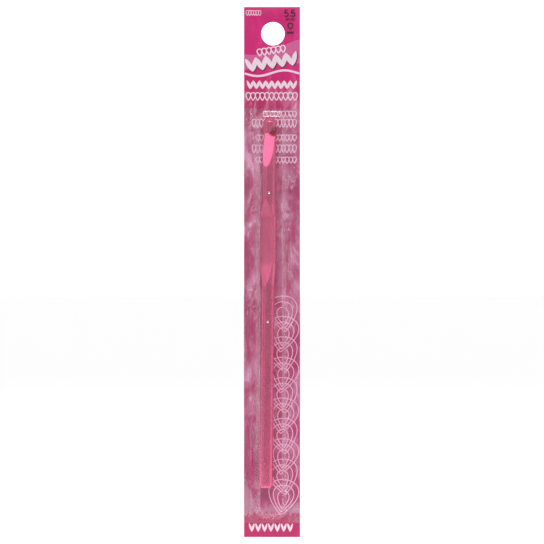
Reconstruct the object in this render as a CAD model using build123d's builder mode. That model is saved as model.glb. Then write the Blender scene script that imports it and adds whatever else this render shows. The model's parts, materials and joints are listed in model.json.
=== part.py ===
from build123d import *
from math import cos, radians, sin, tan
import os

# A 5.5 mm crochet hook in its retail pack. The aluminium hook lies loose in the channel of a
# clear thermoformed blister, and the blister's flange is sealed to the front of a printed card.
#
# Millimetres, +Z up. The pack hangs upright with its printed side to -Y. The origin is on the
# axis of the card's hang hole, where it meets the card's printed face.

INCH = 25.4

# ---- Card -------------------------------------------------------------------------------------
CARD_WIDTH = 0.9 * INCH
CARD_HEIGHT = 8.5 * INCH
CARD_THICKNESS = 0.6
CARD_CENTRE_X = -0.4  # the hole is punched this far right of the card's centre line
HANG_HOLE_DIAMETER = 0.375 * INCH
HANG_HOLE_BELOW_TOP = 10.9
CARD_TOP_Z = HANG_HOLE_BELOW_TOP
CARD_BOTTOM_Z = CARD_TOP_Z - CARD_HEIGHT

# ---- Hook, in a frame of its own: distances run from the tip towards the handle's end -----------
SHANK_DIAMETER = 5.5
SHANK_RADIUS = SHANK_DIAMETER / 2
HOOK_LENGTH = 151.5  # sold as 6 in
TIP_FLAT_RADIUS = 0.35
TIP_CORNER_RADIUS = 0.25
CONE_LENGTH = 2.7
SHOULDER_RADIUS = 0.6
END_CHAMFER = 0.35
CUT_EDGE_RADIUS = 0.12  # the barrelled edges of the throat and the thumb rest

# The throat is cut square across the head. Depths run inwards from the mouth side.
LIP_AT = 7.4
ROOT_AT = 4.1
ROOT_DEPTH = 3.6
ROOT_RADIUS = 0.8
THROAT_END_AT = 21.1
SCOOP_SAGITTA = 0.28  # how far the long slope out is hollowed below a straight line

# The thumb rest is pressed flat on two sides, which spreads the rod sideways a little.
REST_START_AT = 34.6
REST_FLAT_FROM = 42.0
REST_FLAT_TO = 60.0
REST_END_AT = 69.5
REST_THICKNESS = 2.8
REST_WIDTH = 6.6
REST_RUNOUT_RADIUS = 20.0

# Two small round rack marks, left where the rod was held for anodising
RACK_MARKS_AT = (31.5, 84.0)
RACK_MARK_DIAMETER = 0.9
RACK_MARK_DEPTH = 0.12

# How the hook lies in the pack
HOOK_TIP = (-1.25, -3.25, -33.3)
HOOK_LEAN = 0.6  # degrees that the handle's end leans to -X
MOUTH_AZIMUTH = 31.0  # degrees that the mouth is turned from -Y towards -X

# ---- Blister ----------------------------------------------------------------------------------
FILM = 0.25
SEAL_GAP = 0.03  # the heat-seal lacquer between flange and card
FLANGE_TOP_Z = -30.4
FLANGE_BOTTOM_Z = -199.2
CHANNEL_CENTRE_X = -0.8
CHANNEL_TOP_Z = -32.0
CHANNEL_BOTTOM_Z = -197.1
CHANNEL_WIDTH = 12.2  # inside, where the hook goes in
CHANNEL_DEPTH = 6.6
CHANNEL_DRAFT = 15.0
CHANNEL_CORNER_RADIUS = 3.8  # inside, at the mouth
CROWN_RADIUS = 0.5  # inside, along the channel's front edges
FOOT_RADIUS = 0.4  # outside, where the channel rises from the flange
RIB_FROM_CENTRE = 7.95
RIB_RADIUS = 0.55
RIB_TOP_Z = -32.5
RIB_BOTTOM_Z = -193.2

os.makedirs("parts", exist_ok=True)


def outward(start, end, reach):
    """Return the point on the line from start through end whose first coordinate is reach."""
    slope = (end[1] - start[1]) / (end[0] - start[0])
    return (reach, start[1] + slope * (reach - start[0]))


# ---- Backing card -------------------------------------------------------------------------------
# Plane.XZ faces the front, so the card's thickness goes back from it.
with BuildPart() as backing_card:
    with BuildSketch(Plane.XZ):
        with Locations((CARD_CENTRE_X, (CARD_TOP_Z + CARD_BOTTOM_Z) / 2)):
            Rectangle(CARD_WIDTH, CARD_HEIGHT)
        Circle(HANG_HOLE_DIAMETER / 2, mode=Mode.SUBTRACT)
    extrude(amount=-CARD_THICKNESS)

backing_card.part.label = "backing_card"
export_step(backing_card.part, "parts/backing_card.step")


# ---- Crochet hook -------------------------------------------------------------------------------
# hook_frame has +Z from the handle to the tip and +X out of the mouth. profile_plane holds both,
# so a profile on it is drawn with x towards the mouth and y towards the tip.
lean = radians(HOOK_LEAN)
azimuth = radians(MOUTH_AZIMUTH)
hook_frame = Plane(
    origin=HOOK_TIP,
    x_dir=(-sin(azimuth), -cos(azimuth), 0),
    z_dir=(sin(lean), 0, cos(lean)),
)
profile_plane = Plane(origin=HOOK_TIP, x_dir=hook_frame.x_dir, z_dir=-hook_frame.y_dir)
hook_axis = Axis(HOOK_TIP, hook_frame.z_dir)
cross_axis = Axis(HOOK_TIP, hook_frame.y_dir)
CUT_REACH = SHANK_RADIUS + 1.0  # cutting profiles end this far from the axis, outside the rod

with BuildPart() as crochet_hook:
    # The rod: blunt cone, shank, the swell at the thumb rest, handle and chamfered end
    with BuildSketch(profile_plane):
        with BuildLine():
            FilletPolyline(
                (0, 0),
                (TIP_FLAT_RADIUS, 0),
                (SHANK_RADIUS, -CONE_LENGTH),
                (SHANK_RADIUS, -REST_START_AT),
                radius=[TIP_CORNER_RADIUS, SHOULDER_RADIUS],
            )
            Spline(
                (SHANK_RADIUS, -REST_START_AT),
                (REST_WIDTH / 2, -REST_FLAT_FROM),
                tangents=[(0, -1), (0, -1)],
            )
            Line((REST_WIDTH / 2, -REST_FLAT_FROM), (REST_WIDTH / 2, -REST_FLAT_TO))
            Spline(
                (REST_WIDTH / 2, -REST_FLAT_TO),
                (SHANK_RADIUS, -REST_END_AT),
                tangents=[(0, -1), (0, -1)],
            )
            Polyline(
                (SHANK_RADIUS, -REST_END_AT),
                (SHANK_RADIUS, END_CHAMFER - HOOK_LENGTH),
                (SHANK_RADIUS - END_CHAMFER, -HOOK_LENGTH),
                (0, -HOOK_LENGTH),
                (0, 0),
            )
        make_face()
    revolve(axis=hook_axis)

    # The throat: an undercut lip, a rounded root, and a long hollowed slope out
    lip = (SHANK_RADIUS, -LIP_AT)
    root = (SHANK_RADIUS - ROOT_DEPTH, -ROOT_AT)
    throat_end = (SHANK_RADIUS, -THROAT_END_AT)
    with BuildSketch(profile_plane) as throat:
        with BuildLine():
            Polyline(throat_end, (CUT_REACH, -THROAT_END_AT), outward(root, lip, CUT_REACH), root)
            SagittaArc(root, throat_end, SCOOP_SAGITTA)
        make_face()
        fillet(throat.vertices().sort_by(Axis.X)[0], ROOT_RADIUS)
    extrude(amount=REST_WIDTH, both=True, mode=Mode.SUBTRACT)
    throat_edges = crochet_hook.edges(Select.NEW).filter_by(cross_axis, reverse=True)
    fillet(throat_edges, CUT_EDGE_RADIUS)

    # The thumb rest's two flats, which ramp out into the round rod at both ends
    rest_start = (SHANK_RADIUS, -REST_START_AT)
    flat_from = (REST_THICKNESS / 2, -REST_FLAT_FROM)
    flat_to = (REST_THICKNESS / 2, -REST_FLAT_TO)
    rest_end = (SHANK_RADIUS, -REST_END_AT)
    with BuildSketch(profile_plane) as flats:
        with BuildLine():
            FilletPolyline(
                outward(flat_from, rest_start, CUT_REACH),
                flat_from,
                flat_to,
                outward(flat_to, rest_end, CUT_REACH),
                radius=REST_RUNOUT_RADIUS,
            )
            Line(outward(flat_to, rest_end, CUT_REACH), outward(flat_from, rest_start, CUT_REACH))
        make_face()
        mirror(about=Plane.YZ)
    extrude(amount=REST_WIDTH, both=True, mode=Mode.SUBTRACT)
    rest_edges = crochet_hook.edges(Select.NEW).filter_by(cross_axis, reverse=True)
    fillet(rest_edges, CUT_EDGE_RADIUS)

    # The rack marks face the front, as shallow parts of a ball
    mark_radius = (RACK_MARK_DIAMETER**2 / 4 + RACK_MARK_DEPTH**2) / (2 * RACK_MARK_DEPTH)
    for distance in RACK_MARKS_AT:
        mark_centre = (
            HOOK_TIP[0] - distance * sin(lean),
            HOOK_TIP[1] - SHANK_RADIUS + RACK_MARK_DEPTH - mark_radius,
            HOOK_TIP[2] - distance * cos(lean),
        )
        with Locations(mark_centre):
            Sphere(mark_radius, mode=Mode.SUBTRACT)

crochet_hook.part.label = "crochet_hook"
export_step(crochet_hook.part, "parts/crochet_hook.step")


# ---- Blister ------------------------------------------------------------------------------------
film_back = Plane.XZ.offset(SEAL_GAP)
CHANNEL_LENGTH = CHANNEL_TOP_Z - CHANNEL_BOTTOM_Z
channel_centre = (CHANNEL_CENTRE_X, (CHANNEL_TOP_Z + CHANNEL_BOTTOM_Z) / 2)
WALL_OFFSET = FILM / cos(radians(CHANNEL_DRAFT)) + FILM * tan(radians(CHANNEL_DRAFT))


def channel_form(growth, height, crown_radius):
    """Return the channel's mould form, with its mouth larger by growth on every side."""
    with BuildPart() as form:
        with BuildSketch(film_back):
            with Locations(channel_centre):
                RectangleRounded(
                    CHANNEL_WIDTH + 2 * growth,
                    CHANNEL_LENGTH + 2 * growth,
                    CHANNEL_CORNER_RADIUS + growth,
                )
        extrude(amount=height, taper=CHANNEL_DRAFT)
        fillet(form.faces().sort_by(Axis.Y)[0].edges(), crown_radius)
    return form.part


def rib_forms(radius):
    """Return two half-round bars on the film's back, one each side of the channel."""
    with BuildPart() as bars:
        with BuildSketch(Plane.XY.offset(RIB_BOTTOM_Z)):
            for side in (-1, 1):
                with Locations((CHANNEL_CENTRE_X + side * RIB_FROM_CENTRE, -SEAL_GAP)):
                    Circle(radius)
            with Locations((CHANNEL_CENTRE_X, -SEAL_GAP - CHANNEL_DEPTH / 2)):
                Rectangle(CARD_WIDTH, CHANNEL_DEPTH, mode=Mode.INTERSECT)
        extrude(amount=RIB_TOP_Z - RIB_BOTTOM_Z)
    return bars.part


with BuildPart() as blister:
    with BuildSketch(film_back):
        with Locations((CARD_CENTRE_X, (FLANGE_TOP_Z + FLANGE_BOTTOM_Z) / 2)):
            Rectangle(CARD_WIDTH, FLANGE_TOP_Z - FLANGE_BOTTOM_Z)
    extrude(amount=FILM)
    add(channel_form(WALL_OFFSET, CHANNEL_DEPTH + FILM, CROWN_RADIUS + FILM))
    foot = blister.faces().filter_by(Axis.Y).sort_by(SortBy.AREA)[-2:].sort_by(Axis.Y)[0]
    fillet(foot.inner_wires()[0].edges(), FOOT_RADIUS)
    add(rib_forms(RIB_RADIUS))
    add(channel_form(0, CHANNEL_DEPTH, CROWN_RADIUS), mode=Mode.SUBTRACT)
    add(rib_forms(RIB_RADIUS - FILM), mode=Mode.SUBTRACT)

blister.part.label = "blister"
export_step(blister.part, "parts/blister.step")
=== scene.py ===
import json
from math import asin, atan, ceil, copysign, cos, hypot, pi, radians, sin, tan

import bmesh
import bpy
import numpy as np
from mathutils import Matrix, Vector, geometry, noise


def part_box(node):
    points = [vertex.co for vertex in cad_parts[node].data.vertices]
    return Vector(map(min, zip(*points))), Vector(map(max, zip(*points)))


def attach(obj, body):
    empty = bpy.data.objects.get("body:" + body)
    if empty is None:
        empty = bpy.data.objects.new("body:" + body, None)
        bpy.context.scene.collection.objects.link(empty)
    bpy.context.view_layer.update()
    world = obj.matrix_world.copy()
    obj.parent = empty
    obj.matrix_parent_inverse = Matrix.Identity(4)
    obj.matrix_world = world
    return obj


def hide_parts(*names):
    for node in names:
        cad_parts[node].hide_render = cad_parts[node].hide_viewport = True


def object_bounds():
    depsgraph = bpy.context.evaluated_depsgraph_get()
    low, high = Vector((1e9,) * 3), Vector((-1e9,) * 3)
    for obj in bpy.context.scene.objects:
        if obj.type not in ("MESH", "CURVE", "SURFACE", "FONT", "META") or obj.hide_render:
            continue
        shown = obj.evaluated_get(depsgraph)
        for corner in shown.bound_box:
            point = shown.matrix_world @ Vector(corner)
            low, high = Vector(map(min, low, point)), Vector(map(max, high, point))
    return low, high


# The looks of a carded crochet hook: an anodised hook, a clear thermoformed blister and a printed
# card. The meshes are worked out in millimetres and scaled to metres when they become objects.

MM = 0.001

# ---- The camera ----
LENS = 300.0
SENSOR = 36.0
VIEW_MARGIN = 1.026  # the view's height over the card's height
SIGHT_LIMIT = 100.0  # metres

# ---- The room, which brightens from the front to behind and above the object ----
ROOM_FRONT = 0.51
ROOM_BACK = 1.7
ROOM_AXIS = (0.0, 0.95, 0.4)  # the direction in which the room brightens
ROOM_TURN = (0.3, 0.7)  # how far along that axis it starts and stops brightening
FLOOR_FRONT = 0.36  # the floor's paper is graded, from pale grey in front to white behind
FLOOR_BACK = 0.95
FLOOR_GRADE = (-260.0, -10.0)  # where along Y the grading starts and stops
FLOOR_REACH = 20000.0
FLOOR_BELOW = 4.0  # how far the floor lies under the card
GRID_SPREAD = radians(60)  # how wide the grid on the overhead softbox lets its light fan out
# Each softbox: name, direction from the object, distance and size in metres, brightness, spread
SOFTBOXES = [
    ("key_left", (-0.826, -0.404, 0.42), 1.2, (0.42, 0.27), 1.9, pi),
    ("key_right", (0.80, -0.45, 0.36), 1.2, (0.3, 0.36), 1.3, pi),
    ("strip_left", (-0.82, -0.57, -0.02), 1.2, (0.3, 0.7), 0.35, pi),
    ("strip_right", (0.97, -0.20, -0.02), 1.2, (0.16, 0.9), 0.8, pi),
    ("overhead", (0.0, -0.66, 0.75), 1.3, (1.0, 0.6), 1.22, GRID_SPREAD),
    ("floor_wash", (0.0, 0.55, 0.83), 1.6, (1.6, 0.8), 1.9, pi),
]

# ---- The hook, as in the CAD source: distances run from the tip ----
SHANK_RADIUS = 2.75
TIP_FLAT_RADIUS = 0.35
TIP_CORNER_RADIUS = 0.25
CONE_LENGTH = 2.7
SHOULDER_RADIUS = 0.6
END_CHAMFER = 0.35
MOUTH_AZIMUTH = 31.0  # degrees from -Y towards -X
LIP_AT = 7.4
ROOT_AT = 4.1
ROOT_DEPTH = 3.6
ROOT_RADIUS = 0.8
THROAT_END_AT = 21.1
SCOOP_SAGITTA = 0.28
REST_START_AT = 34.6
REST_FLAT_FROM = 42.0
REST_FLAT_TO = 60.0
REST_END_AT = 69.5
REST_THICKNESS = 2.8
REST_WIDTH = 6.6
REST_RUNOUT_RADIUS = 20.0
RACK_MARKS_AT = (31.5, 84.0)
RACK_MARK_RADIUS = 0.45
RACK_MARK_DEPTH = 0.12
MARK_RINGS = [RACK_MARK_RADIUS * share for share in (0.2, 0.4, 0.6, 0.8, 1.0, 1.15)]
CUT_EDGE_RADIUS = 0.12
# The middle of the painted shade in the throat's far corner
THROAT_SHADE_CORNER = (-0.15, -1.9, 6.5)  # in the hook's own frame

# ---- How finely the hook's mesh is divided ----
PROFILE_SPACING = 0.5
REST_TURN_STEP = radians(1)
EASE_STEPS = 12  # along each swelling of the thumb rest's sides
SLOPE_STEPS = 40  # along the throat's slope
SLOPE_JOIN = 7  # the root's arc leads into this point of the slope
CUT_SAMPLING = 0.004
CUT_SPACING = 0.16
CUT_CLEARANCE = 0.14  # what lies nearer to a cut than this is left out of the grid
EDGE_CLEARANCE = 0.1
SKIN_COLUMNS = 32
CUT_STRIPS = 6  # across the wall of each cut
SHARP_CUT = radians(22)
MARK_POINTS = 24  # in each of a rack mark's outer rings

# ---- The blister, as in the CAD source ----
FILM = 0.25
SEAL_GAP = 0.03
CHANNEL_CENTRE_X = -0.8
CHANNEL_TOP_Z = -32.0
CHANNEL_BOTTOM_Z = -197.1
CHANNEL_WIDTH = 12.2
CHANNEL_DEPTH = 6.6
CHANNEL_DRAFT = radians(15.0)
CHANNEL_CORNER_RADIUS = 3.8
CROWN_RADIUS = 0.5
FOOT_RADIUS = 0.4
RIB_FROM_CENTRE = 7.95
RIB_RADIUS = 0.55
RIB_TOP_Z = -32.5
RIB_BOTTOM_Z = -193.2
WAVINESS = 0.05
FLANGE_SQUEEZE = 0.07  # the flange is triangulated this much shorter, so triangles lie along it
HINGE_EDGE_GAP = 0.08  # keeps the film's lower edge clear of the print as the blister opens
FILM_MIRROR = 0.045  # what each face of the film mirrors when seen square on
SECTION_SPACING = 0.45
SECTION_TURN_STEP = radians(7)
CHANNEL_STEP = 2.0  # along the channel's sides
CHANNEL_CORNER_STEPS = 14
CHANNEL_END_STEPS = 4
FLANGE_ROW_STEP = 2.0
FLANGE_COLUMN_STEP = 0.5
RIB_STEP = 0.11
RIB_STEPS_ACROSS = range(-6, 7)
RIB_STEPS_OVER_END = range(-2, 12)
MOUTH_CLEARANCE = 0.2
RIM_CLEARANCE = 0.1

# ---- The card ----
HOLE_SIDES = 96
CARD_EDGE = 0.08
CARD_STEP = 4.0
SHARP_CARD_EDGE = radians(40)

# ---- The print: u runs to the right from the card's top left corner, and t runs down ----
INK = 0.007  # the thickness of each colour
OVERPRINT = 0.001  # how far one step of overlapping print stands over the last
SWOOSH_COLUMNS = 30
WAVE_STEPS = 60
HEADER_TILT = -0.16
# The rows of chain stitches round the hook's head: how many, their level and their height
STITCH_ROWS = [(9, 43.7, 2.6), (12, 47.4, 3.4), (11, 53.4, 2.6), (12, 57.8, 3.3), (11, 62.4, 2.6)]
# The levels between which the header, the pale band painted as the film's reflection, and the foot
# fade in or out
HEADER_FADE = (29.0, 38.0)
REFLECTION_BAND_FADE = (202.8, 204.2)
FOOT_FADE = (205.9, 207.0)
BRAID_DROPS = 10
BRAID_RINGS = 3
BRAID_FIRST = (15.9, 125.0)
BRAID_STEP = 8.3
BRAID_LEAN = 0.14
# The deep magenta patches: centre (u, t), then half their width and height
DEEP_PATCHES = [
    (22.5, 79.0, 3.5, 9.0),
    (1.0, 103.0, 3.0, 7.0),
    (1.0, 128.0, 3.5, 8.0),
    (21.5, 140.0, 3.0, 9.0),
    (1.8, 185.0, 5.5, 15.0),
    (14.0, 194.0, 10.0, 12.0),
]

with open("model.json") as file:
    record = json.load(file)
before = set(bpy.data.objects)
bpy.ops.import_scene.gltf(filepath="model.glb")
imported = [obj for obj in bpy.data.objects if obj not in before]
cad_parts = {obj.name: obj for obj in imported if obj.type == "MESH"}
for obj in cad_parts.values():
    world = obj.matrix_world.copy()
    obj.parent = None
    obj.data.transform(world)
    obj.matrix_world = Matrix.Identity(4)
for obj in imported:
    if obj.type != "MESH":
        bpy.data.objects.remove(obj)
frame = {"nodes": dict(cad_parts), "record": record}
cad_low, cad_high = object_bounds()


def box_mm(node):
    """Return a CAD node's lowest and highest corners, in millimetres."""
    low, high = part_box(node)
    return low / MM, high / MM


card_low, card_high = box_mm("backing_card")
film_low, film_high = box_mm("blister")
mounts = {mount["name"]: mount for mount in frame["record"]["mounts"]}
HOLE_RADIUS = mounts["hang_hole"]["dims"]["r_mm"]


# ---- Outlines ----
def rounded(corners, radii, turn_step=radians(9)):
    """Return the line through the corners, each inner corner turned as an arc of its radius."""
    line = [Vector(corners[0])]
    for before, corner, after, radius in zip(corners, corners[1:], corners[2:], radii):
        corner = Vector(corner)
        back = (Vector(before) - corner).normalized()
        ahead = (Vector(after) - corner).normalized()
        half = back.angle(ahead) / 2
        centre = corner + (back + ahead).normalized() * radius / sin(half)
        first = corner + back * radius / tan(half) - centre
        turn = pi - 2 * half
        side = copysign(1, ahead.x * back.y - ahead.y * back.x)
        steps = max(2, ceil(turn / turn_step))
        for step in range(steps + 1):
            line.append(centre + Matrix.Rotation(side * turn * step / steps, 2) @ first)
    line.append(Vector(corners[-1]))
    return line


def spaced(line, gap):
    """Return the line with points added, so that no two neighbours are more than gap apart."""
    points = [Vector(point) for point in line]
    dense = points[:1]
    for start, end in zip(points, points[1:]):
        steps = max(1, ceil((end - start).length / gap))
        dense += [start.lerp(end, step / steps) for step in range(1, steps + 1)]
    return dense


def thinned(line, gap):
    """Return the line with only as many points as stand gap apart, and its last."""
    kept = [line[0]]
    for point in line[1:-1]:
        if hypot(point[0] - kept[-1][0], point[1] - kept[-1][1]) >= gap:
            kept.append(point)
    return kept[:-1] + [line[-1]]


def circle(centre, radius, count):
    """Return points spread evenly round a circle."""
    turns = [2 * pi * turn / count for turn in range(count)]
    return [(centre[0] + radius * cos(turn), centre[1] + radius * sin(turn)) for turn in turns]


def sheet_rim(low, high, step):
    """Return the rim of an upright sheet as (x, z) points that are no more than step apart."""
    corners = [(low.x, low.z), (high.x, low.z), (high.x, high.z), (low.x, high.z), (low.x, low.z)]
    return spaced(corners, step)[:-1]


def triangulated(rim, inner_points, hole=()):
    """Return the points and triangles that fill a rim, and each rim point's new index.

    A hole is a ring of points that the triangles' edges follow. It is filled too.
    """
    points = [Vector(point) for point in [*rim, *inner_points, *hole]]
    ring = list(range(len(rim) + len(inner_points), len(points)))
    ring_edges = list(zip(ring, ring[1:] + ring[:1]))
    found = geometry.delaunay_2d_cdt(points, ring_edges, [list(range(len(rim)))], 1, 1e-5)
    place = {}
    for new, olds in enumerate(found[3]):
        for old in olds:
            place[old] = new
    return found[0], found[2], [place[i] for i in range(len(rim))]


def round_over(bm, edges, width, clamp):
    """Round edges over with three faces each, narrowed where they would collide if clamped."""
    bmesh.ops.bevel(
        bm,
        geom=edges,
        offset=width,
        segments=3,
        profile=0.5,
        affect="EDGES",
        clamp_overlap=clamp,
    )


def add_piece(name, mesh, body, materials):
    """Link a mesh as a piece of the object that rides on a body."""
    piece = bpy.data.objects.new(name, mesh)
    bpy.context.scene.collection.objects.link(piece)
    for material in materials:
        mesh.materials.append(material)
    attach(piece, body)
    return piece


def mesh_from(bm, name):
    """Turn a bmesh in millimetres into a smooth-shaded mesh in metres."""
    bmesh.ops.scale(bm, vec=(MM, MM, MM), verts=bm.verts)
    mesh = bpy.data.meshes.new(name)
    bm.to_mesh(mesh)
    bm.free()
    mesh.shade_smooth()
    return mesh


# ---- The hook ----
def hook_matrix():
    """Return the hook's own frame, x out of the mouth and z down from the tip, and its length."""
    points = np.array([v.co for v in frame["nodes"]["crochet_hook"].data.vertices]) / MM
    top, bottom = points[:, 2].max(), points[:, 2].min()
    tip = Vector(points[points[:, 2] > top - 0.01].mean(0))
    end = Vector(points[points[:, 2] < bottom + 0.1].mean(0))
    end.y = tip.y
    down = (end - tip).normalized()
    azimuth = radians(MOUTH_AZIMUTH)
    mouth = Vector((-sin(azimuth), -cos(azimuth), 0))
    mouth = (mouth - mouth.dot(down) * down).normalized()
    across = down.cross(mouth)
    placing = Matrix((mouth, across, down)).transposed().to_4x4()
    placing.translation = tip
    return placing, (end - tip).length


hook_placing, HOOK_LENGTH = hook_matrix()


def swell(share):
    """Return a smooth rise from 0 to 1."""
    return share * share * (3 - 2 * share)


def rest_side(start, end, widening):
    """Return (radius, distance) points where the thumb rest's side widens or narrows."""
    points = []
    for step in range(1, EASE_STEPS):
        share = step / EASE_STEPS
        rise = (REST_WIDTH / 2 - SHANK_RADIUS) * swell(share if widening else 1 - share)
        points.append((SHANK_RADIUS + rise, start + share * (end - start)))
    return points


def rod_outline():
    """Return (radius, distance) points down the rod, from the tip's centre to the end's centre."""
    tip = rounded(
        [(0, 0), (TIP_FLAT_RADIUS, 0), (SHANK_RADIUS, CONE_LENGTH), (SHANK_RADIUS, REST_START_AT)],
        [TIP_CORNER_RADIUS, SHOULDER_RADIUS],
    )
    widening = rest_side(REST_START_AT, REST_FLAT_FROM, True)
    flat_run = [(REST_WIDTH / 2, REST_FLAT_FROM), (REST_WIDTH / 2, REST_FLAT_TO)]
    narrowing = rest_side(REST_FLAT_TO, REST_END_AT, False)
    end = [
        (SHANK_RADIUS, REST_END_AT),
        (SHANK_RADIUS, HOOK_LENGTH - END_CHAMFER),
        (SHANK_RADIUS - END_CHAMFER, HOOK_LENGTH),
        (0, HOOK_LENGTH),
    ]
    return tip + widening + flat_run + narrowing + end


def throat_line():
    """Return the throat's side view, from the lip's edge over the root to the end of the slope."""
    lip = Vector((SHANK_RADIUS, LIP_AT))
    root = Vector((SHANK_RADIUS - ROOT_DEPTH, ROOT_AT))
    slope_end = Vector((SHANK_RADIUS, THROAT_END_AT))
    chord = slope_end - root
    inward = Vector((-chord.y, chord.x)).normalized()
    slope = []
    for step in range(1, SLOPE_STEPS + 1):
        share = step / SLOPE_STEPS
        sag = 4 * SCOOP_SAGITTA * share * (1 - share)
        slope.append(root + chord * share + inward * sag)
    return rounded([lip, root, slope[SLOPE_JOIN]], [ROOT_RADIUS])[:-1] + slope[SLOPE_JOIN:]


def rest_line():
    """Return the thumb rest's side view on the mouth side, from run-out to run-out."""
    corners = [
        (SHANK_RADIUS, REST_START_AT),
        (REST_THICKNESS / 2, REST_FLAT_FROM),
        (REST_THICKNESS / 2, REST_FLAT_TO),
        (SHANK_RADIUS, REST_END_AT),
    ]
    return rounded(corners, [REST_RUNOUT_RADIUS] * 2, REST_TURN_STEP)


# The rod's skin is unrolled in two halves, on either side of the plane through the mouth. A spot
# on a half is (arc length round the rod from the half's middle, arc length down the rod).
rod_line = spaced(rod_outline(), PROFILE_SPACING)
rod_radii = np.array([point.x for point in rod_line])
rod_distances = np.array([point.y for point in rod_line])
rod_steps = np.hypot(np.diff(rod_radii), np.diff(rod_distances))
rod_runs = np.concatenate([[0], np.cumsum(rod_steps)])
HALF_EDGE = SHANK_RADIUS * pi / 2
FRONT_ANGLE = pi / 2 - radians(MOUTH_AZIMUTH)  # of the pack's front, from the half's middle


def run_at(distance):
    """Return the arc length down the rod's skin at a distance from the tip."""
    return float(np.interp(distance, rod_distances, rod_runs))


rack_marks = [(SHANK_RADIUS * FRONT_ANGLE, run_at(at)) for at in RACK_MARKS_AT]


def unrolled(line, side):
    """Map the points of a cut's side view onto the skin, as spots on a half."""
    spots = []
    for point in spaced(line, CUT_SAMPLING):
        reach = np.interp(point.y, rod_distances, rod_radii)
        angle = asin(min(1, point.x / reach))
        spots.append((side * SHANK_RADIUS * angle, run_at(point.y)))
    return thinned(spots, CUT_SPACING)


def half_edge(side, start, end):
    """Return spots down one edge of a half, between two cuts."""
    runs = [run for run in rod_runs if start + EDGE_CLEARANCE < run < end - EDGE_CLEARANCE]
    return [(side * HALF_EDGE, float(run)) for run in runs]


def half_rim():
    """Return the rim of a half without the cuts, and the range of each cut's points in it."""
    throat = unrolled(throat_line(), 1)
    rest_front = unrolled(rest_line(), 1)
    rest_back = unrolled(rest_line(), -1)[::-1]
    total = float(rod_runs[-1])
    rim = [(HALF_EDGE, 0)] + half_edge(1, 0, throat[0][1])
    cuts = []
    for cut, following in ((throat, rest_front[0][1]), (rest_front, total)):
        cuts.append((len(rim), len(rim) + len(cut)))
        rim += cut + half_edge(1, cut[-1][1], following)
    rim += [(HALF_EDGE, total), (-HALF_EDGE, total)]
    rim += half_edge(-1, rest_back[0][1], total)[::-1]
    cuts.append((len(rim), len(rim) + len(rest_back)))
    rim += rest_back + half_edge(-1, 0, rest_back[-1][1])[::-1] + [(-HALF_EDGE, 0)]
    return rim, cuts


def half_grid(rim, cuts):
    """Return spots that fill a half: closer together on the head, and in rings on the marks."""
    fine_until = run_at(THROAT_END_AT + 1)
    rows = []
    for i, run in enumerate(rod_runs[:-1]):
        if run > 0 and (run < fine_until or i % 2 == 0):
            rows.append(float(run))
    columns = [HALF_EDGE * (2 * c / SKIN_COLUMNS - 1) for c in range(1, SKIN_COLUMNS)]
    cut_spots = np.array([rim[i] for first, last in cuts for i in range(first, last)])
    spots = []
    for row in rows:
        for column in columns:
            away = np.hypot(cut_spots[:, 0] - column, cut_spots[:, 1] - row)
            if away.min() > CUT_CLEARANCE:
                spots.append((column, row))
    for mark in rack_marks:
        keep_off = MARK_RINGS[-1] + EDGE_CLEARANCE
        spots = [s for s in spots if hypot(s[0] - mark[0], s[1] - mark[1]) > keep_off]
        for ring in MARK_RINGS:
            count = MARK_POINTS if ring > RACK_MARK_RADIUS / 2 else MARK_POINTS // 2
            spots += circle(mark, ring, count)
        spots.append(mark)
    return spots


def mark_depth(spot):
    """Return how far a rack mark lowers the skin at a spot. Each mark is a shallow bowl."""
    away = min(hypot(spot[0] - mark[0], spot[1] - mark[1]) for mark in rack_marks)
    if away < RACK_MARK_RADIUS:
        return RACK_MARK_DEPTH * (1 - (away / RACK_MARK_RADIUS) ** 2)
    return 0.0


def skin(spot, half):
    """Return the point of the rod's skin at a spot on one half. The marks are on half -1."""
    angle = spot[0] / SHANK_RADIUS
    reach = float(np.interp(spot[1], rod_runs, rod_radii))
    if half < 0:
        reach -= mark_depth(spot)
    along = float(np.interp(spot[1], rod_runs, rod_distances))
    return Vector((reach * sin(angle), half * reach * cos(angle), along))


def hook_mesh():
    """Return the hook's mesh: both halves of its skin, and the cuts' walls between them."""
    rim, cuts = half_rim()
    spots, faces, place = triangulated(rim, half_grid(rim, cuts))
    bm = bmesh.new()
    for half in (1, -1):
        corners = [bm.verts.new(skin(spot, half)) for spot in spots]
        for face in faces:
            bm.faces.new([corners[i] for i in face])

    for first, last in cuts:
        ladder = []
        for i in range(first, last):
            upper = skin(spots[place[i]], 1)
            lower = skin(spots[place[i]], -1)
            rung = [upper.lerp(lower, s / CUT_STRIPS) for s in range(CUT_STRIPS + 1)]
            ladder.append([bm.verts.new(point) for point in rung])
        for above, below in zip(ladder, ladder[1:]):
            for s in range(CUT_STRIPS):
                bm.faces.new((above[s], above[s + 1], below[s + 1], below[s]))

    bmesh.ops.remove_doubles(bm, verts=bm.verts, dist=1e-4)
    bmesh.ops.dissolve_degenerate(bm, edges=bm.edges, dist=1e-4)
    bmesh.ops.recalc_face_normals(bm, faces=bm.faces)
    joined = [edge for edge in bm.edges if len(edge.link_faces) == 2]
    sharp = [edge for edge in joined if edge.calc_face_angle() > SHARP_CUT]
    round_over(bm, sharp, CUT_EDGE_RADIUS, clamp=True)
    front_x = SHANK_RADIUS * sin(FRONT_ANGLE)
    front_y = -SHANK_RADIUS * cos(FRONT_ANGLE)
    # The marks' faces take the bare metal, which is painted pale as a glint as well
    for face in bm.faces:
        middle = face.calc_center_median()
        for at in RACK_MARKS_AT:
            if (middle - Vector((front_x, front_y, at))).length < RACK_MARK_RADIUS:
                face.material_index = 1
    bmesh.ops.transform(bm, matrix=hook_placing, verts=bm.verts)
    return mesh_from(bm, "hook_rod")


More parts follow.
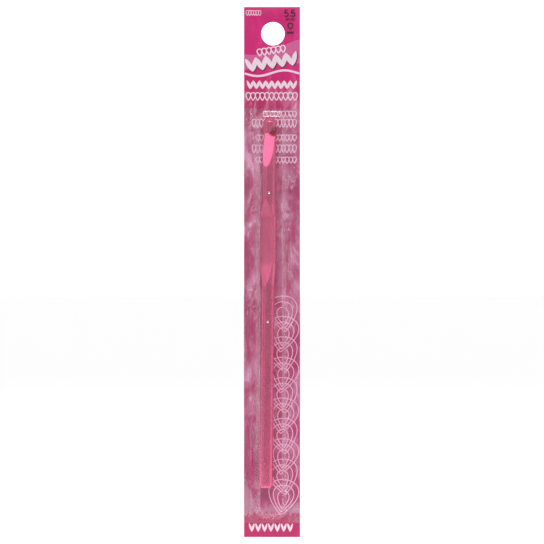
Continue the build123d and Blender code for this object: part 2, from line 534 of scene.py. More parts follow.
# ---- The blister ----
def channel_loop(growth):
    """Return the channel's plan outline, larger by growth on every side, as (x, z) points."""
    reach_x = CHANNEL_WIDTH / 2 + growth
    reach_z = (CHANNEL_TOP_Z - CHANNEL_BOTTOM_Z) / 2 + growth
    centre = Vector((CHANNEL_CENTRE_X, (CHANNEL_TOP_Z + CHANNEL_BOTTOM_Z) / 2))
    corner = min(max(CHANNEL_CORNER_RADIUS + growth, 0.0), max(reach_x, 0.0))
    corners = []
    for side_x, side_z, first in ((1, 1, 0), (-1, 1, 1), (-1, -1, 2), (1, -1, 3)):
        middle = centre + Vector((side_x * (reach_x - corner), side_z * (reach_z - corner)))
        for step in range(CHANNEL_CORNER_STEPS + 1):
            angle = pi / 2 * (first + step / CHANNEL_CORNER_STEPS)
            corners.append(middle + Vector((corner * cos(angle), corner * sin(angle))))
    side_steps = ceil((CHANNEL_TOP_Z - CHANNEL_BOTTOM_Z) / CHANNEL_STEP)
    line = []
    for i, start in enumerate(corners):
        end = corners[(i + 1) % len(corners)]
        turn, step = divmod(i, CHANNEL_CORNER_STEPS + 1)
        steps = 1
        if step == CHANNEL_CORNER_STEPS:
            steps = side_steps if turn % 2 else CHANNEL_END_STEPS
        line += [start.lerp(end, part / steps) for part in range(steps)]
    return line


def channel_section():
    """Return (growth, height) points over the film's outside, from flange to channel's middle."""
    wall_foot = FILM / cos(CHANNEL_DRAFT) + FILM * tan(CHANNEL_DRAFT)
    top = CHANNEL_DEPTH + FILM
    lean = tan(CHANNEL_DRAFT)
    line = rounded(
        [
            (wall_foot + FOOT_RADIUS, FILM),
            (wall_foot - FILM * lean, FILM),
            (wall_foot - top * lean, top),
            (-CHANNEL_WIDTH / 2, top),
        ],
        [FOOT_RADIUS, CROWN_RADIUS + FILM],
        SECTION_TURN_STEP,
    )
    return spaced(line, SECTION_SPACING)


def rib_height(x, z):
    """Return how far the flange stands forward at a place, because of the ribs."""
    rise = 0.0
    for side in (-1, 1):
        away_x = abs(x - CHANNEL_CENTRE_X - side * RIB_FROM_CENTRE)
        past = max(z - (RIB_TOP_Z - RIB_RADIUS), RIB_BOTTOM_Z + RIB_RADIUS - z, 0.0)
        away = hypot(away_x, past)
        crest = RIB_RADIUS - FILM
        rise += crest * (1 - swell(min(1.0, away / RIB_RADIUS)))
    return rise


def unevenness(x, z):
    """Return the slight waviness that the film keeps from forming, from 0 to 1."""
    broad = noise.noise((x * 0.16, z * 0.045, 3.1))
    fine = noise.noise((x * 0.5, z * 0.22, 7.7))
    return min(1.0, max(0.0, 0.5 + 0.45 * broad + 0.22 * fine))


def flange_grid(low, high, mouth):
    """Return spots over the flange, closer together on the ribs. Mouth is the channel's growth."""
    column_count = int((high.x - low.x) / FLANGE_COLUMN_STEP)
    columns = [low.x + FLANGE_COLUMN_STEP * c for c in range(1, column_count)]
    for side in (-1, 1):
        rib = CHANNEL_CENTRE_X + side * RIB_FROM_CENTRE
        columns += [rib + RIB_STEP * step for step in RIB_STEPS_ACROSS]
    row_count = int((high.z - low.z) / FLANGE_ROW_STEP)
    rows = [low.z + FLANGE_ROW_STEP * r for r in range(1, row_count)]
    rows += [RIB_TOP_Z - RIB_STEP * step for step in RIB_STEPS_OVER_END]
    rows += [RIB_BOTTOM_Z + RIB_STEP * step for step in RIB_STEPS_OVER_END]
    gap = mouth + MOUTH_CLEARANCE
    spots = []
    for x in columns:
        if not low.x + RIM_CLEARANCE < x < high.x - RIM_CLEARANCE:
            continue
        for z in rows:
            beside = abs(x - CHANNEL_CENTRE_X) > CHANNEL_WIDTH / 2 + gap
            beyond = z > CHANNEL_TOP_Z + gap or z < CHANNEL_BOTTOM_Z - gap
            if beside or beyond:
                spots.append((x, z))
    return spots


def on_flange(x, z, mouth):
    """Return whether a place lies outside the channel's mouth."""
    corner = CHANNEL_CORNER_RADIUS + mouth
    half_x = CHANNEL_WIDTH / 2 + mouth
    half_z = (CHANNEL_TOP_Z - CHANNEL_BOTTOM_Z) / 2 + mouth
    middle_z = (CHANNEL_TOP_Z + CHANNEL_BOTTOM_Z) / 2
    out_x = max(abs(x - CHANNEL_CENTRE_X) - half_x + corner, 0.0)
    out_z = max(abs(z - middle_z) - half_z + corner, 0.0)
    return hypot(out_x, out_z) > corner - 1e-3


def squeezed(points):
    """Return (x, z) points with their heights shortened for triangulation."""
    return [(point[0], point[1] * FLANGE_SQUEEZE) for point in points]


def blister_mesh():
    """Return the blister's mesh: a film with the channel and two ribs formed into it."""
    bm = bmesh.new()
    section = channel_section()
    rings = []
    for growth, height in section:
        sag = WAVINESS * min(1.0, height - FILM)
        ring = []
        for x, z in channel_loop(growth):
            y = -SEAL_GAP - height + sag * unevenness(x, z)
            ring.append(bm.verts.new((x, y, z)))
        rings.append(ring)
    for outer, inner in zip(rings, rings[1:]):
        for i in range(len(outer)):
            j = (i + 1) % len(outer)
            bm.faces.new((outer[i], outer[j], inner[j], inner[i]))

    low, high = film_low + Vector((0, 0, HINGE_EDGE_GAP)), film_high
    mouth = section[0].x
    rim = squeezed(sheet_rim(low, high, FLANGE_ROW_STEP))
    grid = squeezed(flange_grid(low, high, mouth))
    points, triangles, _ = triangulated(rim, grid, squeezed(channel_loop(mouth)))
    places = [Vector((p.x, p.y / FLANGE_SQUEEZE)) for p in points]
    corners = []
    for place in places:
        y = -SEAL_GAP - FILM - rib_height(place.x, place.y)
        corners.append(bm.verts.new((place.x, y, place.y)))
    for triangle in triangles:
        x = sum(places[i].x for i in triangle) / 3
        z = sum(places[i].y for i in triangle) / 3
        if on_flange(x, z, mouth):
            bm.faces.new([corners[i] for i in triangle])
    bmesh.ops.remove_doubles(bm, verts=bm.verts, dist=1e-3)
    bmesh.ops.dissolve_degenerate(bm, edges=bm.edges, dist=1e-4)
    bmesh.ops.recalc_face_normals(bm, faces=bm.faces)
    if sum(face.normal.y * face.calc_area() for face in bm.faces) > 0:
        bmesh.ops.reverse_faces(bm, faces=bm.faces)
    for edge in bm.edges:
        edge.smooth = not edge.is_boundary
    return mesh_from(bm, "blister_film")


# ---- The card ----
def card_grid():
    """Return spots over the card, clear of its rim and of the hang hole."""
    spots = []
    for x in np.arange(card_low.x + CARD_STEP, card_high.x - CARD_STEP / 2, CARD_STEP):
        for z in np.arange(card_low.z + CARD_STEP, card_high.z - CARD_STEP / 2, CARD_STEP):
            if hypot(x, z) > HOLE_RADIUS + 1:
                spots.append((x, z))
    return spots


def card_mesh():
    """Return the card's mesh, with a punched hole. Its slots are print, core and back."""
    bm = bmesh.new()
    rim = sheet_rim(card_low, card_high, CARD_STEP)
    hole = circle((0, 0), HOLE_RADIUS, HOLE_SIDES)
    points, triangles, _ = triangulated(rim, card_grid(), hole)
    hole_reach = HOLE_RADIUS * cos(pi / HOLE_SIDES) - 0.01
    sides = []
    for y in (card_low.y, card_high.y):
        corners = [bm.verts.new((p.x, y, p.y)) for p in points]
        for triangle in triangles:
            middle = sum((points[i] for i in triangle), Vector((0, 0))) / 3
            if middle.length > hole_reach:
                bm.faces.new([corners[i] for i in triangle])
        sides.append(corners)
    front, back = sides
    number = {corner: i for i, corner in enumerate(front)}
    boundary = [edge for edge in bm.edges if len(edge.link_faces) == 1]
    for edge in boundary:
        if edge.verts[0] in number:
            a, b = (number[corner] for corner in edge.verts)
            bm.faces.new((front[a], front[b], back[b], back[a]))
    bmesh.ops.recalc_face_normals(bm, faces=bm.faces)
    front_rims = []
    for edge in bm.edges:
        in_front = max(corner.co.y for corner in edge.verts) < 0.01
        if in_front and edge.calc_face_angle() > SHARP_CARD_EDGE:
            front_rims.append(edge)
    round_over(bm, front_rims, CARD_EDGE, clamp=False)
    bm.normal_update()
    # The edge's gentler slopes still carry print, and its steeper ones show the core
    for face in bm.faces:
        if face.normal.y < -0.35:
            face.material_index = 0
        else:
            face.material_index = 2 if face.normal.y > 0.9 else 1
    for edge in bm.edges:
        edge.smooth = edge.calc_face_angle() < SHARP_CARD_EDGE
    return mesh_from(bm, "card")


# ---- The print's motifs ----
# They are crochet loops and knitted stitches, in place of any lettering but the hook's size.


def leaf(centre, length, width, angle, steps=14):
    """Return the outline of a pointed leaf, whose length lies at an angle from straight down."""
    outline = []
    for step in range(2 * steps):
        share = step / steps
        along = 1 - 2 * share if share <= 1 else 2 * share - 3
        side = (1 if share <= 1 else -1) * (1 - along * along) ** 0.75
        outline.append((side * width / 2, along * length / 2))
    return turned(outline, centre, angle)


def chain_stitch(centre, length, width, angle, steps=40):
    """Return the outline of a chain stitch, a drop with its point at one end of its length."""
    outline = []
    for step in range(steps):
        turn = 2 * pi * step / steps
        outline.append((width * 0.65 * sin(turn) * sin(turn / 2), length / 2 * cos(turn)))
    return turned(outline, centre, angle)


def turned(outline, centre, angle):
    """Return an outline turned and moved to a place on the card."""
    turn = Matrix.Rotation(angle, 2)
    return [turn @ Vector(point) + Vector(centre) for point in outline]


class Ink:
    """Gathers one colour of print as a thin mesh on the card's front."""

    def __init__(self, name, layer):
        self.name = name
        self.y = card_low.y - INK * layer
        self.bm = bmesh.new()

    def corner(self, point, over):
        """Add a corner at a place on the card, on a step of over."""
        y = self.y - OVERPRINT * over
        return self.bm.verts.new((card_low.x + point[0], y, card_high.z - point[1]))

    def fill(self, outline, over=0):
        """Print the inside of an outline. What overlaps stands on different steps of over."""
        self.bm.faces.new([self.corner(point, over) for point in outline])

    def stroke(self, line, width, over=0):
        """Print an open line of even width."""
        points = [Vector(p) for p in line]
        sides = []
        for before, point, after in zip(points[:1] + points, points, points[1:] + points[-1:]):
            along = (after - before).normalized()
            across = Vector((-along.y, along.x)) * width / 2
            sides.append((self.corner(point + across, over), self.corner(point - across, over)))
        for (left, right), (next_left, next_right) in zip(sides, sides[1:]):
            self.bm.faces.new((left, right, next_right, next_left))

    def drop(self, outline, width, over=0):
        """Print a chain stitch as two half lines, on two steps, since they cross at its point."""
        half = len(outline) // 2
        self.stroke(outline[: half + 1], width, 2 * over)
        self.stroke(outline[half:] + outline[:1], width, 2 * over + 1)

    def vee(self, centre, height, width, angle=0.0):
        """Print one knitted stitch, two leaves that meet in a V."""
        turn = Matrix.Rotation(angle, 2)
        lean = atan(width / height) * 0.62
        for side in (-1, 1):
            middle = Vector(centre) + turn @ Vector((side * width * 0.26, 0))
            self.fill(leaf(middle, height * 1.08, width * 0.46, angle + side * lean), side > 0)

    def chain(self, count, first, step, height, width, line, angle=0.0):
        """Print a row of chain stitches, each a step on from the last."""
        for i in range(count):
            centre = (first[0] + step[0] * i, first[1] + step[1] * i)
            self.drop(chain_stitch(centre, height, width, angle), line, i % 2)

    def knit(self, count, first, step, height, width, angle=0.0):
        """Print a row of knitted stitches, each a step on from the last."""
        for i in range(count):
            centre = (first[0] + step[0] * i, first[1] + step[1] * i)
            self.vee(centre, height, width, angle)

    def done(self, material):
        """Hand the mesh over as a piece that rides on the card."""
        for face in self.bm.faces:
            face.normal_update()
            if face.normal.y > 0:
                face.normal_flip()
        mesh = mesh_from(self.bm, self.name)
        mesh.shade_flat()
        add_piece(self.name, mesh, "card", [material])


def wave(first_u, last_u, level, height, period, phase):
    """Return a wavy line across the card."""
    line = []
    for step in range(WAVE_STEPS + 1):
        u = first_u + (last_u - first_u) * step / WAVE_STEPS
        line.append((u, level + height * sin(2 * pi * (u - phase) / period)))
    return line


def swoosh_edge(width, level, rise, sag):
    """Return one edge of the swoosh: it rises to the right, and sags in the middle."""
    edge = []
    for u in np.linspace(0, width, SWOOSH_COLUMNS):
        edge.append((u, level - rise * swell(u / width) + sag * sin(pi * u / width)))
    return edge


def digit_five(u, t, height):
    """Return a figure five as one line, from the end of its flag to the end of its bowl."""
    width = height * 0.52
    bowl = [
        (u + width * (0.42 + 0.56 * sin(a)), t + height * (0.68 - 0.30 * cos(a)))
        for a in np.linspace(-0.9, 4.1, 15)
    ]
    return [(u + width * 0.92, t), (u + width * 0.1, t), (u, t + height * 0.47)] + bowl


def letter_m(u, t, height):
    """Return a small m as three strokes and the arches between them."""
    gap = height * 0.55
    strokes = []
    for i, top in enumerate((t, t + 0.12, t + 0.12)):
        strokes.append([(u + gap * i, top), (u + gap * i, t + height)])
    arches = [(u, t + 0.2), (u + gap * 0.5, t), (u + gap, t + 0.25)]
    arches += [(u + gap * 1.5, t), (u + 2 * gap, t + 0.25)]
    return strokes + [arches]


def print_swoosh(material):
    """Print the broad swoosh behind the header's stitches."""
    width = card_high.x - card_low.x
    band = Ink("print_swoosh", 1)
    upper = swoosh_edge(width, 19.2, 6.0, 1.6)
    lower = swoosh_edge(width, 25.8, 2.6, -1.5)
    for i in range(SWOOSH_COLUMNS - 1):
        band.fill([upper[i], upper[i + 1], lower[i + 1], lower[i]])
    band.done(material)


def print_header(white, dark):
    """Print the header's large shaded stitches, rows and wave, and the row at the foot."""
    width = card_high.x - card_low.x
    shade = Ink("print_stitch_shade", 2)
    shade.knit(5, (3.42, 23.94), (4.05, -0.62), 5.9, 4.5, HEADER_TILT)
    shade.done(dark)

    bright = Ink("print_stitches", 3)
    bright.knit(5, (3.2, 23.6), (4.05, -0.62), 5.7, 4.2, HEADER_TILT)
    bright.chain(6, (6.4, 18.6), (1.9, -0.3), 2.9, 1.9, 0.5, HEADER_TILT)
    bright.knit(8, (2.6, 31.7), (2.5, 0), 3.5, 2.5)
    bright.chain(11, (1.8, 36.5), (1.9, 0), 3.2, 1.9, 0.42)
    bright.chain(6, (1.4, 2.5), (1.0, 0), 2.1, 1.1, 0.24)
    bright.stroke(wave(0.3, width - 0.3, 27.0, 1.15, 22.0, 0.1), 0.85, over=2)
    bright.knit(7, (3.2, 212.0), (2.6, 0), 3.4, 1.9)
    bright.done(white)


def print_rows(material):
    """Print the rows of chain stitches round the hook's head, from their right ends leftwards."""
    rows = Ink("print_stitch_rows", 2)
    for count, level, height in STITCH_ROWS:
        rows.chain(count, (20.6, level), (-1.5, 0), height, 1.5, 0.36)
    rows.done(material)


def print_braid(material):
    """Print the braid: drops that lean left and right in turn, with smaller drops inside them."""
    braid = Ink("print_braid", 2)
    for i in range(BRAID_DROPS):
        lean = BRAID_LEAN if i % 2 else -BRAID_LEAN
        for ring in range(BRAID_RINGS):
            centre = (BRAID_FIRST[0], BRAID_FIRST[1] + BRAID_STEP * i + 0.5 * ring)
            length = 14.6 - 3.6 * ring
            width = 12.2 - 3.8 * ring
            braid.drop(chain_stitch(centre, length, width, lean), 0.36, 3 * (i % 2) + ring)
    braid.done(material)


def print_size_mark(material):
    """Print the hook's size, 5.5 mm, over one chain stitch and a bar."""
    mark = Ink("print_size_mark", 2)
    for u in (16.7, 19.4):
        mark.stroke(digit_five(u, 1.3, 2.6), 0.62)
    mark.fill(leaf((18.8, 3.65), 0.55, 0.5, 0.0))
    for u in (17.2, 19.2):
        for line in letter_m(u, 4.7, 1.1):
            mark.stroke(line, 0.32)
    mark.drop(chain_stitch((18.9, 7.9), 2.5, 1.9, 0.0), 0.6)
    mark.stroke([(17.5, 10.5), (20.3, 10.5)], 0.9)
    mark.done(material)


# ---- Materials ----
def srgb(red, green, blue):
    """Return a colour given in 0 to 255 screen values as the linear colour that nodes take."""
    linear = []
    for value in (red / 255, green / 255, blue / 255):
        linear.append(value / 12.92 if value <= 0.04045 else ((value + 0.055) / 1.055) ** 2.4)
    return (*linear, 1.0)


class Nodes:
    """Builds one material's node tree. Each method adds a node and returns its output."""

    def __init__(self, name):
        self.material = bpy.data.materials.new(name)
        self.material.use_nodes = True
        self.tree = self.material.node_tree
        self.tree.nodes.clear()
        self.output = self.tree.nodes.new("ShaderNodeOutputMaterial")

    def add(self, kind, inputs=(), **settings):
        """Add a node, set its properties, and fill its inputs with values or other outputs."""
        node = self.tree.nodes.new("ShaderNode" + kind)
        for key, value in settings.items():
            setattr(node, key, value)
        for key, value in dict(inputs).items():
            if isinstance(value, bpy.types.NodeSocket):
                self.tree.links.new(value, node.inputs[key])
            else:
                node.inputs[key].default_value = value
        return node

    def place(self, scale=(1, 1, 1), turn=(0, 0, 0)):
        """Return the place on the object in millimetres, scaled and turned."""
        where = self.add("TexCoord").outputs["Object"]
        size = [s / MM for s in scale]
        mapping = self.add("Mapping", {"Vector": where, "Scale": size, "Rotation": turn})
        return mapping.outputs[0]

    def noise(self, where, scale, detail=3.0, roughness=0.5, distortion=0.0):
        """Return fractal noise with scale cells to the millimetre."""
        inputs = {"Vector": where, "Scale": scale, "Detail": detail, "Roughness": roughness}
        return self.add("TexNoise", {**inputs, "Distortion": distortion}).outputs[0]

    def math(self, operation, first, second=0.0, third=0.0, clamp=False):
        """Return the result of an operation on up to three values."""
        inputs = {0: first, 1: second, 2: third}
        return self.add("Math", inputs, operation=operation, use_clamp=clamp).outputs[0]

    def ramp(self, value, stops):
        """Return a colour ramp over value. Each stop is a place and a colour."""
        node = self.add("ValToRGB", {0: value})
        elements = node.color_ramp.elements
        for i, (at, colour) in enumerate(stops):
            element = elements[i] if i < 2 else elements.new(at)
            element.position = at
            element.color = colour
        return node.outputs[0]

    def range(self, value, low, high, to_low=0.0, to_high=1.0):
        """Return value mapped smoothly from one range to another, and held at its ends."""
        inputs = {"Value": value, 1: low, 2: high, 3: to_low, 4: to_high}
        return self.add("MapRange", inputs, interpolation_type="SMOOTHSTEP").outputs[0]

    def mix(self, share, first, second):
        """Return a mix of two colours."""
        inputs = {0: share, 6: first, 7: second}
        return self.add("Mix", inputs, data_type="RGBA").outputs[2]

    def bump(self, height, distance, normal=None):
        """Return a normal bent by height, which spans distance in millimetres."""
        inputs = {"Height": height, "Distance": distance * MM, "Strength": 1.0}
        if normal is not None:
            inputs["Normal"] = normal
        return self.add("Bump", inputs).outputs[0]

    def beside_channel(self):
        """Return how far a place lies to either side of the channel's middle, in millimetres."""
        x = self.add("SeparateXYZ", {0: self.place()}).outputs[0]
        return self.math("ABSOLUTE", self.math("SUBTRACT", x, CHANNEL_CENTRE_X))

    def surface(self, colour, rough, normal, metallic=0.0):
        """Give the material a principled shader and return it."""
        inputs = {"Base Color": colour, "Metallic": metallic, "Roughness": rough, "Normal": normal}
        return self.finish(self.add("BsdfPrincipled", inputs).outputs[0])

    def finish(self, shader):
        """Give the material its shader and return it."""
        self.tree.links.new(shader, self.output.inputs["Surface"])
        return self.material


def anodised_aluminium():
    """The hook's dyed metal, with a fine grain along the rod, a finer pitting, and painted shade
    in the throat's far corner.
    """
    n = Nodes("anodised_aluminium")
    along = n.place((1, 1, 0.05))
    fine_grain = n.noise(along, 9.0, 4.0, 0.6)
    broad = n.noise(n.place((1, 1, 0.25)), 0.35, 2.0)
    speck = n.noise(n.place(), 14.0, 2.0)
    colour = n.ramp(broad, [(0.3, srgb(236, 99, 142)), (0.7, srgb(246, 110, 153))])
    rough = n.range(fine_grain, 0.3, 0.7, 0.2, 0.3)
    # Painted shade: the throat's far corner, which the lip and the card keep in shadow, is
    # darkened
    corner = hook_placing @ Vector(THROAT_SHADE_CORNER)
    away = n.add("VectorMath", {0: n.place(), 1: corner}, operation="DISTANCE").outputs["Value"]
    colour = n.mix(n.range(away, 1.4, 2.6, 0.75, 0.0), colour, srgb(136, 34, 66))
    grain = n.bump(fine_grain, 0.0012)
    pitted = n.bump(speck, 0.0008, grain)
    return n.surface(colour, rough, pitted, metallic=1.0)


def bare_metal_and_glint():
    """The metal where the rack held the rod, which took no dye; its pale colour is also a painted
    glint on each mark.
    """
    n = Nodes("bare_metal_and_glint")
    grain = n.noise(n.place(), 12.0, 3.0)
    rough = n.range(grain, 0.3, 0.7, 0.25, 0.4)
    return n.surface((0.82, 0.66, 0.71, 1), rough, n.bump(grain, 0.002), metallic=1.0)


def clear_film():
    """The film: clear and glossy, hazy where it is seen edge on, and with pale creases on its
    flange that are whitened film and a painted reflection of the wrinkles.
    """
    n = Nodes("clear_film")
    stretched = n.place((1, 1, 0.12))
    drag = n.noise(stretched, 0.9, 3.0, 0.55)
    broad = n.noise(n.place((1, 1, 0.4)), 0.22, 2.0)
    scuff = n.noise(n.place((1, 1, 0.3)), 2.4, 5.0, 0.7, 1.5)
    waves = n.bump(broad, 0.12)
    surface = n.bump(drag, 0.02, waves)
    rough = n.range(scuff, 0.45, 0.75, 0.03, 0.22)
    clear = n.add("BsdfTransparent", {"Color": (0.97, 0.975, 0.985, 1)}).outputs[0]
    gloss = n.add("BsdfGlossy", {"Color": (1, 1, 1, 1), "Roughness": rough, "Normal": surface})
    facing = n.add("LayerWeight", {"Blend": 0.5, "Normal": surface}).outputs["Facing"]
    grazing = n.math("POWER", facing, 5.0)
    mirrored = n.math("MULTIPLY_ADD", grazing, 1 - FILM_MIRROR, FILM_MIRROR)
    haze = n.add("BsdfDiffuse", {"Color": (0.9, 0.9, 0.93, 1)}).outputs[0]
    # The creases are drawn in the pale haze: whitened film, and a painted reflection off the
    # film's wrinkles as well
    creases = n.noise(n.place((1, 1, 0.4)), 0.42, 4.0, 0.62, 1.2)
    off_crease = n.math("ABSOLUTE", n.math("SUBTRACT", creases, 0.5))
    handled = n.range(n.noise(n.place((1, 1, 0.5)), 0.2, 2.0), 0.46, 0.6)
    flange = n.range(n.beside_channel(), CHANNEL_WIDTH / 2 - 1.5, CHANNEL_WIDTH / 2)
    crease = n.math("MULTIPLY", n.range(off_crease, 0.003, 0.014, 0.3, 0.0), handled)
    crease = n.math("MULTIPLY", crease, flange)
    veil = n.math("MULTIPLY", n.math("POWER", facing, 1.6), 0.12)
    veil = n.math("ADD", veil, crease, clamp=True)
    body = n.add("MixShader", {0: veil, 1: clear, 2: haze}).outputs[0]
    film = n.add("MixShader", {0: mirrored, 1: body, 2: gloss.outputs[0]}).outputs[0]
    lamp = n.add("LightPath").outputs["Is Shadow Ray"]
    return n.finish(n.add("MixShader", {0: lamp, 1: film, 2: clear}).outputs[0])


def printed_front():
    """The coated front: magenta at both ends, a soft mauve and magenta pattern between them, and a
    pale band over the foot that is a painted reflection of the film's lower end.
    """
    n = Nodes("printed_front")
    spot = n.place()
    spot_x, _, spot_z = n.add("SeparateXYZ", {0: spot}).outputs
    down = n.math("SUBTRACT", card_high.z, spot_z)
    petals = n.noise(n.place((1, 1, 0.42)), 0.16, 4.0, 0.55, 1.1)
    fibres = n.noise(n.place((1, 1, 0.16), (0, 0.5, 0)), 0.9, 5.0, 0.6, 0.8)
    blotch = n.noise(n.place((1, 1, 0.6), (0, -0.3, 0)), 0.34, 3.0, 0.6, 0.6)
    pattern = n.ramp(
        petals,
        [
            (0.34, srgb(160, 26, 82)),
            (0.43, srgb(172, 52, 100)),
            (0.49, srgb(178, 82, 120)),
            (0.57, srgb(184, 98, 134)),
            (0.64, srgb(208, 140, 170)),
        ],
    )
    wisps = n.range(fibres, 0.56, 0.68)
    pattern = n.mix(n.math("MULTIPLY", wisps, 0.4), pattern, srgb(214, 154, 182))
    pattern = n.mix(n.range(blotch, 0.58, 0.7, 0.0, 0.7), pattern, srgb(164, 34, 92))
    stray = n.math("MULTIPLY", n.math("SUBTRACT", blotch, 0.5), 2.4)
    for patch_u, patch_t, half_width, half_height in DEEP_PATCHES:
        centre = (card_low.x + patch_u, 0, card_high.z - patch_t)
        away = n.add("VectorMath", {0: spot, 1: centre}, operation="SUBTRACT").outputs[0]
        stretch = (1 / half_width, 0, 1 / half_height)
        share = n.add("VectorMath", {0: away, 1: stretch}, operation="MULTIPLY").outputs[0]
        reach = n.add("VectorMath", {0: share}, operation="LENGTH").outputs["Value"]
        inside = n.range(n.math("ADD", reach, stray), 0.75, 1.25, 0.8, 0.0)
        pattern = n.mix(inside, pattern, srgb(162, 24, 88))
    glow = n.ramp(
        petals,
        [
            (0.3, srgb(173, 8, 90)),
            (0.55, srgb(186, 16, 102)),
            (0.75, srgb(194, 44, 122)),
        ],
    )
    ragged = n.math("ADD", down, n.math("MULTIPLY", n.math("SUBTRACT", petals, 0.5), 14.0))
    header = n.range(ragged, *HEADER_FADE, 1.0, 0.0)
    colour = n.mix(header, pattern, glow)
    # The pale band above the foot, climbing at the left edge, is a painted reflection of the
    # film's lower end
    torn = n.math("ADD", down, n.math("MULTIPLY", n.math("SUBTRACT", fibres, 0.5), 9.0))
    climb = n.range(n.math("SUBTRACT", spot_x, card_low.x), 0.5, 6.0, 9.0, 0.0)
    climbing = n.math("ADD", torn, climb)
    foot = n.range(torn, *FOOT_FADE)
    over_foot = n.math("SUBTRACT", 1.0, foot)
    painted_reflection_band = n.math("MULTIPLY", n.range(climbing, *REFLECTION_BAND_FADE), over_foot)
    colour = n.mix(n.math("MULTIPLY", painted_reflection_band, 0.85), colour, srgb(172, 105, 130))
    colour = n.mix(foot, colour, srgb(168, 20, 84))
    tooth = n.noise(spot, 6.0, 4.0, 0.6)
    dents = n.noise(spot, 0.12, 2.0)
    surface = n.bump(tooth, 0.003, n.bump(dents, 0.15))
    rough = n.range(tooth, 0.3, 0.7, 0.34, 0.46)
    return n.surface(colour, rough, surface)


def ink(name, darker, lighter):
    """Return a printing ink with a faint mottle and the sheen of the coated board under it."""
    n = Nodes(name)
    mottle = n.noise(n.place(), 2.2, 4.0, 0.6)
    colour = n.ramp(mottle, [(0.35, srgb(*darker)), (0.65, srgb(*lighter))])
    rough = n.range(mottle, 0.3, 0.7, 0.3, 0.42)
    surface = n.bump(n.noise(n.place(), 5.0, 3.0), 0.004)
    return n.surface(colour, rough, surface)


def board_core():
    """The cut edge of the board, where its plies show as fine lines along the edge."""
    n = Nodes("board_core")
    plies = n.noise(n.place((0.3, 9.0, 0.3)), 1.0, 3.0)
    colour = n.ramp(plies, [(0.35, srgb(196, 188, 178)), (0.65, srgb(222, 216, 208))])
    rough = n.range(plies, 0.3, 0.7, 0.8, 0.95)
    return n.surface(colour, rough, n.bump(plies, 0.02))


def board_back():
    """The uncoated back of recycled board: fibres, flecks, and the seal pressed through."""
    n = Nodes("board_back")
    fibres = n.noise(n.place((1, 1, 0.25), (0, 0.4, 0)), 3.5, 5.0, 0.65, 1.2)
    cross_fibres = n.noise(n.place((0.3, 1, 1), (0, 0.3, 0)), 4.5, 4.0, 0.6, 0.8)
    cloud = n.noise(n.place(), 0.12, 3.0)
    fleck = n.noise(n.place((1, 1, 0.6)), 5.5, 2.0, 0.5)
    felt = n.math("MULTIPLY", n.math("ADD", fibres, cross_fibres), 0.5)
    colour = n.ramp(felt, [(0.38, srgb(158, 153, 146)), (0.62, srgb(182, 177, 169))])
    colour = n.mix(n.range(cloud, 0.35, 0.65, 0.0, 0.35), colour, srgb(188, 184, 178))
    colour = n.mix(n.range(fleck, 0.68, 0.74, 0.0, 0.6), colour, srgb(112, 104, 100))
    z = n.add("SeparateXYZ", {0: n.place()}).outputs[2]
    under_film = n.range(z, film_high.z + 0.3, film_high.z - 0.3)
    beside = n.range(n.beside_channel(), CHANNEL_WIDTH / 2, CHANNEL_WIDTH / 2 + 1.2)
    pressed = n.math("MULTIPLY", beside, under_film)
    surface = n.bump(pressed, 0.05, n.bump(felt, 0.03))
    rough = n.range(felt, 0.35, 0.65, 0.75, 0.92)
    return n.surface(colour, rough, surface)


# ---- Assembly ----
hook = add_piece(
    "hook_rod", hook_mesh(), "hook", [anodised_aluminium(), bare_metal_and_glint()]
)
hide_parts("crochet_hook")
film = add_piece("blister_film", blister_mesh(), "blister", [clear_film()])
shell = film.modifiers.new("film_thickness", "SOLIDIFY")
shell.thickness = FILM * MM
shell.offset = -1.0
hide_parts("blister")
card = add_piece(
    "card", card_mesh(), "card", [printed_front(), board_core(), board_back()]
)
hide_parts("backing_card")

white_ink = ink("ink_white", (208, 182, 195), (220, 202, 211))
pale_ink = ink("ink_pale", (222, 174, 195), (236, 200, 215))
pink_ink = ink("ink_pink", (222, 150, 184), (236, 178, 205))
dark_ink = ink("ink_dark", (58, 14, 36), (74, 22, 46))
rose_ink = ink("ink_rose", (182, 76, 128), (192, 92, 140))
print_swoosh(rose_ink)
print_header(white_ink, dark_ink)
print_rows(pale_ink)
print_braid(pink_ink)
print_size_mark(dark_ink)


# ---- Stage, light and camera ----
def stage():
    """Lay the floor under the card."""
    low = card_low.z - FLOOR_BELOW
    corners = []
    for x, y in ((-1, -1), (1, -1), (1, 1), (-1, 1)):
        corners.append(Vector((x * FLOOR_REACH, y * FLOOR_REACH, low)) * MM)
    mesh = bpy.data.meshes.new("floor")
    mesh.from_pydata(corners, [], [(0, 1, 2, 3)])
    floor = bpy.data.objects.new("floor", mesh)
    bpy.context.scene.collection.objects.link(floor)
    n = Nodes("floor")
    depth = n.add("SeparateXYZ", {0: n.place()}).outputs[1]
    grade = n.range(depth, *FLOOR_GRADE, FLOOR_FRONT, FLOOR_BACK)
    paper = n.add("BsdfPrincipled", {"Base Color": grade, "Roughness": 0.7})
    mesh.materials.append(n.finish(paper.outputs[0]))


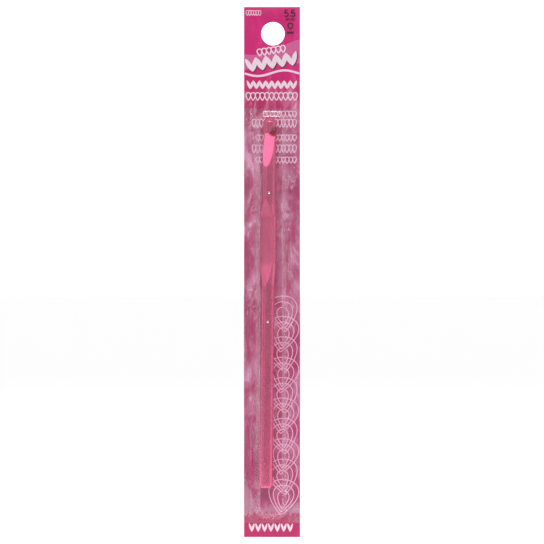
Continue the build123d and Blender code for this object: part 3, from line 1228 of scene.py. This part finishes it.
def softbox(name, direction, distance, size, brightness, spread):
    """Hang a lamp of a brightness that faces the object. A grid on it narrows its spread."""
    centre = (cad_low + cad_high) / 2
    data = bpy.data.lights.new(name, "AREA")
    data.shape = "RECTANGLE"
    data.size, data.size_y = size
    data.energy = brightness * pi * size[0] * size[1]
    data.spread = spread
    lamp = bpy.data.objects.new(name, data)
    towards = Vector(direction).normalized()
    lamp.location = centre + towards * distance
    lamp.rotation_euler = towards.to_track_quat("Z", "Y").to_euler()
    lamp.visible_camera = False
    bpy.context.scene.collection.objects.link(lamp)


def light():
    """Light the object from a pale room that is dimmer in front, and from softboxes."""
    world = bpy.data.worlds.new("studio")
    bpy.context.scene.world = world
    world.use_nodes = True
    tree = world.node_tree
    background = tree.nodes["Background"]
    background.inputs["Color"].default_value = (1, 1, 1, 1)
    direction = tree.nodes.new("ShaderNodeTexCoord").outputs["Generated"]
    along = tree.nodes.new("ShaderNodeVectorMath")
    along.operation = "DOT_PRODUCT"
    along.inputs[1].default_value = ROOM_AXIS
    tree.links.new(direction, along.inputs[0])
    grade = tree.nodes.new("ShaderNodeMapRange")
    for index, value in enumerate((*ROOM_TURN, ROOM_FRONT, ROOM_BACK), 1):
        grade.inputs[index].default_value = value
    tree.links.new(along.outputs["Value"], grade.inputs[0])
    tree.links.new(grade.outputs[0], background.inputs["Strength"])
    for settings in SOFTBOXES:
        softbox(*settings)


def camera():
    """Stand the camera square on to the card, so far off that the view is almost parallel."""
    data = bpy.data.cameras.new("camera")
    data.lens = LENS
    data.sensor_width = SENSOR
    data.clip_end = SIGHT_LIMIT
    height = (card_high.z - card_low.z) * MM * VIEW_MARGIN
    centre = (cad_low + cad_high) / 2
    view = bpy.data.objects.new("camera", data)
    view.location = (centre.x, -height * LENS / SENSOR, centre.z)
    view.rotation_euler = (pi / 2, 0, 0)
    bpy.context.scene.collection.objects.link(view)
    bpy.context.scene.camera = view


stage()
light()
camera()
bpy.context.scene.cycles.transparent_max_bounces = 32
bpy.context.scene.view_settings.view_transform = "Standard"
